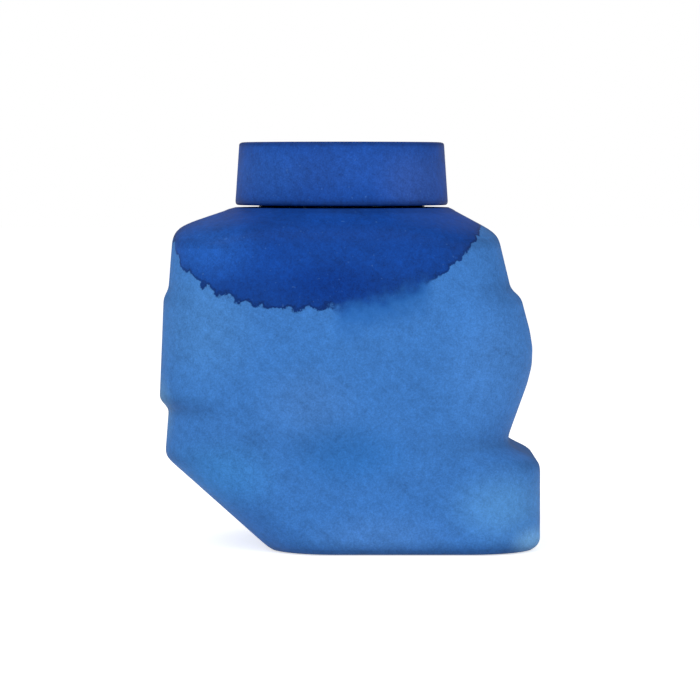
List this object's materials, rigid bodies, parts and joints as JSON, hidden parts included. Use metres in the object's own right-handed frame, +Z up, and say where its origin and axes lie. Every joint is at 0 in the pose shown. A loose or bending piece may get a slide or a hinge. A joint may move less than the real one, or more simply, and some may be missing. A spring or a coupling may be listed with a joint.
{
  "type": "ink bottle",
  "caption": "Moulded glass ink bottle with a wide threaded neck, a tilting facet, a pen ledge and a lined screw cap, finished in washes of blue.",
  "frame": {"origin": "middle of the bottle's footprint box, on the surface it stands on", "axes": "+Z up along the neck, +X towards the heel and its pen ledge, -Y out of the front face"},
  "size_m": [0.0628, 0.045, 0.0673],
  "materials": {
    "washed_glass": "satin, opaque blue wash over glass",
    "blue_ink": "liquid",
    "label_paper": "matt",
    "washed_cap": "satin, dark blue wash",
    "insert_plastic": "moulded",
    "liner_foam": "foamed",
    "liner_film": "smooth film"
  },
  "bodies": {
    "bottle": {"glass_bottle": "washed_glass", "ink": "blue_ink", "base_label": "label_paper"},
    "liner": {"liner_wad": "liner_foam", "liner_facing": "liner_film"},
    "cap": {"cap_shell": "washed_cap", "cap_insert": "insert_plastic"}
  },
  "joints": [
    {"name": "cap_rise", "type": "slide", "parent": "bottle", "child": "liner", "axis": [0, 0, 1], "range_m": [0, 0.01601]},
    {"name": "cap_turn", "type": "hinge", "parent": "liner", "child": "cap", "pos_m": [-0.0014, 0, 0.0568], "axis": [0, 0, 1], "range_deg": [0, 1800]}
  ],
  "couplings": [
    {"joint": "cap_rise", "follows": "cap_turn", "m_per_rad": 0.0005093}
  ]
}
